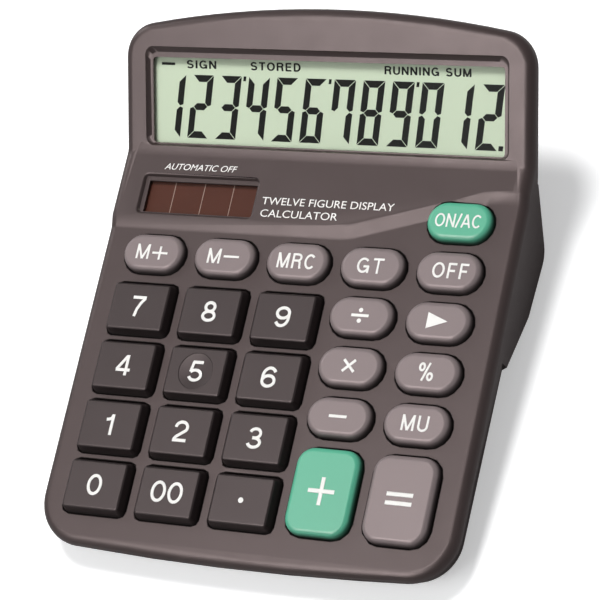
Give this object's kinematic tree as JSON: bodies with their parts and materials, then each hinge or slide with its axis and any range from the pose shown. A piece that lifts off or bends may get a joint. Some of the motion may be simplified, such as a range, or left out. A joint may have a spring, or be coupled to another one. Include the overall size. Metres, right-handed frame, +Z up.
{
  "type": "electronic desktop calculator",
  "caption": "Wedge-shaped desktop calculator with a tilted wide display head, a solar cell, oval and square sprung keys, and a sliding battery door underneath.",
  "frame": {"origin": "on the table under the middle of the case's outline", "axes": "+Z up from the table, +Y from the front edge towards the display head, +X to the user's right"},
  "size_m": [0.12, 0.1454, 0.0486],
  "materials": {
    "case_grey": "satin",
    "key_dark": "satin",
    "key_light": "satin",
    "key_green": "satin",
    "clear_plastic": "gloss",
    "lcd_glass": "gloss",
    "black_plastic": "matte",
    "ribbon": "satin",
    "solar_brown": "gloss",
    "foam": "matte",
    "lead_red": "satin",
    "mat_rubber": "matte",
    "board_green": "satin",
    "epoxy_black": "satin",
    "resistor_body": "satin",
    "steel": "satin",
    "foot_rubber": "matte",
    "cell_can": "satin",
    "nickel": "satin"
  },
  "bodies": {
    "case": {"upper_case": "case_grey", "lower_case": "case_grey", "display_window": "clear_plastic", "lcd_front_glass": "lcd_glass", "lcd_rear_glass": "lcd_glass", "lcd_holder": "black_plastic", "lcd_ribbon": "ribbon", "solar_window": "clear_plastic", "solar_cell": "solar_brown", "solar_pad": "foam", "solar_leads": "lead_red", "key_mat": "mat_rubber", "main_board": "board_green", "chip_cover": "epoxy_black", "capacitor": "epoxy_black", "resistors": "resistor_body", "board_screws": "steel", "case_screws": "steel", "rubber_feet": "foot_rubber", "battery_cell": "cell_can", "battery_contact": "nickel", "battery_spring": "nickel"},
    "door": {"battery_door": "case_grey"},
    "key_7_body": {"key_7": "key_dark"},
    "key_8_body": {"key_8": "key_dark"},
    "key_9_body": {"key_9": "key_dark"},
    "key_4_body": {"key_4": "key_dark"},
    "key_5_body": {"key_5": "key_dark"},
    "key_6_body": {"key_6": "key_dark"},
    "key_1_body": {"key_1": "key_dark"},
    "key_2_body": {"key_2": "key_dark"},
    "key_3_body": {"key_3": "key_dark"},
    "key_0_body": {"key_0": "key_dark"},
    "key_00_body": {"key_00": "key_dark"},
    "key_point_body": {"key_point": "key_dark"},
    "key_m_plus_body": {"key_m_plus": "key_light"},
    "key_m_minus_body": {"key_m_minus": "key_light"},
    "key_mrc_body": {"key_mrc": "key_light"},
    "key_gt_body": {"key_gt": "key_light"},
    "key_off_body": {"key_off": "key_light"},
    "key_divide_body": {"key_divide": "key_light"},
    "key_backspace_body": {"key_backspace": "key_light"},
    "key_multiply_body": {"key_multiply": "key_light"},
    "key_percent_body": {"key_percent": "key_light"},
    "key_minus_body": {"key_minus": "key_light"},
    "key_mu_body": {"key_mu": "key_light"},
    "key_on_ac_body": {"key_on_ac": "key_green"},
    "key_plus_body": {"key_plus": "key_green"},
    "key_equals_body": {"key_equals": "key_light"}
  },
  "joints": [
    {"name": "key_7_press", "type": "slide", "parent": "case", "child": "key_7_body", "axis": [0, 0.1392, -0.9903], "range_m": [0, 0.0012], "stiffness_N_per_m": 350, "springref_m": -0.0007, "deforming": ["key_mat"]},
    {"name": "key_8_press", "type": "slide", "parent": "case", "child": "key_8_body", "axis": [0, 0.1392, -0.9903], "range_m": [0, 0.0012], "stiffness_N_per_m": 350, "springref_m": -0.0007, "deforming": ["key_mat"]},
    {"name": "key_9_press", "type": "slide", "parent": "case", "child": "key_9_body", "axis": [0, 0.1392, -0.9903], "range_m": [0, 0.0012], "stiffness_N_per_m": 350, "springref_m": -0.0007, "deforming": ["key_mat"]},
    {"name": "key_4_press", "type": "slide", "parent": "case", "child": "key_4_body", "axis": [0, 0.1392, -0.9903], "range_m": [0, 0.0012], "stiffness_N_per_m": 350, "springref_m": -0.0007, "deforming": ["key_mat"]},
    {"name": "key_5_press", "type": "slide", "parent": "case", "child": "key_5_body", "axis": [0, 0.1392, -0.9903], "range_m": [0, 0.0012], "stiffness_N_per_m": 350, "springref_m": -0.0007, "deforming": ["key_mat"]},
    {"name": "key_6_press", "type": "slide", "parent": "case", "child": "key_6_body", "axis": [0, 0.1392, -0.9903], "range_m": [0, 0.0012], "stiffness_N_per_m": 350, "springref_m": -0.0007, "deforming": ["key_mat"]},
    {"name": "key_1_press", "type": "slide", "parent": "case", "child": "key_1_body", "axis": [0, 0.1392, -0.9903], "range_m": [0, 0.0012], "stiffness_N_per_m": 350, "springref_m": -0.0007, "deforming": ["key_mat"]},
    {"name": "key_2_press", "type": "slide", "parent": "case", "child": "key_2_body", "axis": [0, 0.1392, -0.9903], "range_m": [0, 0.0012], "stiffness_N_per_m": 350, "springref_m": -0.0007, "deforming": ["key_mat"]},
    {"name": "key_3_press", "type": "slide", "parent": "case", "child": "key_3_body", "axis": [0, 0.1392, -0.9903], "range_m": [0, 0.0012], "stiffness_N_per_m": 350, "springref_m": -0.0007, "deforming": ["key_mat"]},
    {"name": "key_0_press", "type": "slide", "parent": "case", "child": "key_0_body", "axis": [0, 0.1392, -0.9903], "range_m": [0, 0.0012], "stiffness_N_per_m": 350, "springref_m": -0.0007, "deforming": ["key_mat"]},
    {"name": "key_00_press", "type": "slide", "parent": "case", "child": "key_00_body", "axis": [0, 0.1392, -0.9903], "range_m": [0, 0.0012], "stiffness_N_per_m": 350, "springref_m": -0.0007, "deforming": ["key_mat"]},
    {"name": "key_point_press", "type": "slide", "parent": "case", "child": "key_point_body", "axis": [0, 0.1392, -0.9903], "range_m": [0, 0.0012], "stiffness_N_per_m": 350, "springref_m": -0.0007, "deforming": ["key_mat"]},
    {"name": "key_m_plus_press", "type": "slide", "parent": "case", "child": "key_m_plus_body", "axis": [0, 0.1392, -0.9903], "range_m": [0, 0.0012], "stiffness_N_per_m": 350, "springref_m": -0.0007, "deforming": ["key_mat"]},
    {"name": "key_m_minus_press", "type": "slide", "parent": "case", "child": "key_m_minus_body", "axis": [0, 0.1392, -0.9903], "range_m": [0, 0.0012], "stiffness_N_per_m": 350, "springref_m": -0.0007, "deforming": ["key_mat"]},
    {"name": "key_mrc_press", "type": "slide", "parent": "case", "child": "key_mrc_body", "axis": [0, 0.1392, -0.9903], "range_m": [0, 0.0012], "stiffness_N_per_m": 350, "springref_m": -0.0007, "deforming": ["key_mat"]},
    {"name": "key_gt_press", "type": "slide", "parent": "case", "child": "key_gt_body", "axis": [0, 0.1392, -0.9903], "range_m": [0, 0.0012], "stiffness_N_per_m": 350, "springref_m": -0.0007, "deforming": ["key_mat"]},
    {"name": "key_off_press", "type": "slide", "parent": "case", "child": "key_off_body", "axis": [0, 0.1392, -0.9903], "range_m": [0, 0.0012], "stiffness_N_per_m": 350, "springref_m": -0.0007, "deforming": ["key_mat"]},
    {"name": "key_divide_press", "type": "slide", "parent": "case", "child": "key_divide_body", "axis": [0, 0.1392, -0.9903], "range_m": [0, 0.0012], "stiffness_N_per_m": 350, "springref_m": -0.0007, "deforming": ["key_mat"]},
    {"name": "key_backspace_press", "type": "slide", "parent": "case", "child": "key_backspace_body", "axis": [0, 0.1392, -0.9903], "range_m": [0, 0.0012], "stiffness_N_per_m": 350, "springref_m": -0.0007, "deforming": ["key_mat"]},
    {"name": "key_multiply_press", "type": "slide", "parent": "case", "child": "key_multiply_body", "axis": [0, 0.1392, -0.9903], "range_m": [0, 0.0012], "stiffness_N_per_m": 350, "springref_m": -0.0007, "deforming": ["key_mat"]},
    {"name": "key_percent_press", "type": "slide", "parent": "case", "child": "key_percent_body", "axis": [0, 0.1392, -0.9903], "range_m": [0, 0.0012], "stiffness_N_per_m": 350, "springref_m": -0.0007, "deforming": ["key_mat"]},
    {"name": "key_minus_press", "type": "slide", "parent": "case", "child": "key_minus_body", "axis": [0, 0.1392, -0.9903], "range_m": [0, 0.0012], "stiffness_N_per_m": 350, "springref_m": -0.0007, "deforming": ["key_mat"]},
    {"name": "key_mu_press", "type": "slide", "parent": "case", "child": "key_mu_body", "axis": [0, 0.1392, -0.9903], "range_m": [0, 0.0012], "stiffness_N_per_m": 350, "springref_m": -0.0007, "deforming": ["key_mat"]},
    {"name": "key_on_ac_press", "type": "slide", "parent": "case", "child": "key_on_ac_body", "axis": [0, 0.1392, -0.9903], "range_m": [0, 0.0012], "stiffness_N_per_m": 350, "springref_m": -0.0007, "deforming": ["key_mat"]},
    {"name": "key_plus_press", "type": "slide", "parent": "case", "child": "key_plus_body", "axis": [0, 0.1392, -0.9903], "range_m": [0, 0.0012], "stiffness_N_per_m": 350, "springref_m": -0.0007, "deforming": ["key_mat"]},
    {"name": "key_equals_press", "type": "slide", "parent": "case", "child": "key_equals_body", "axis": [0, 0.1392, -0.9903], "range_m": [0, 0.0012], "stiffness_N_per_m": 350, "springref_m": -0.0007, "deforming": ["key_mat"]},
    {"name": "door_slide", "type": "slide", "parent": "case", "child": "door", "axis": [0, 1, 0], "range_m": [0, 0.028]}
  ]
}
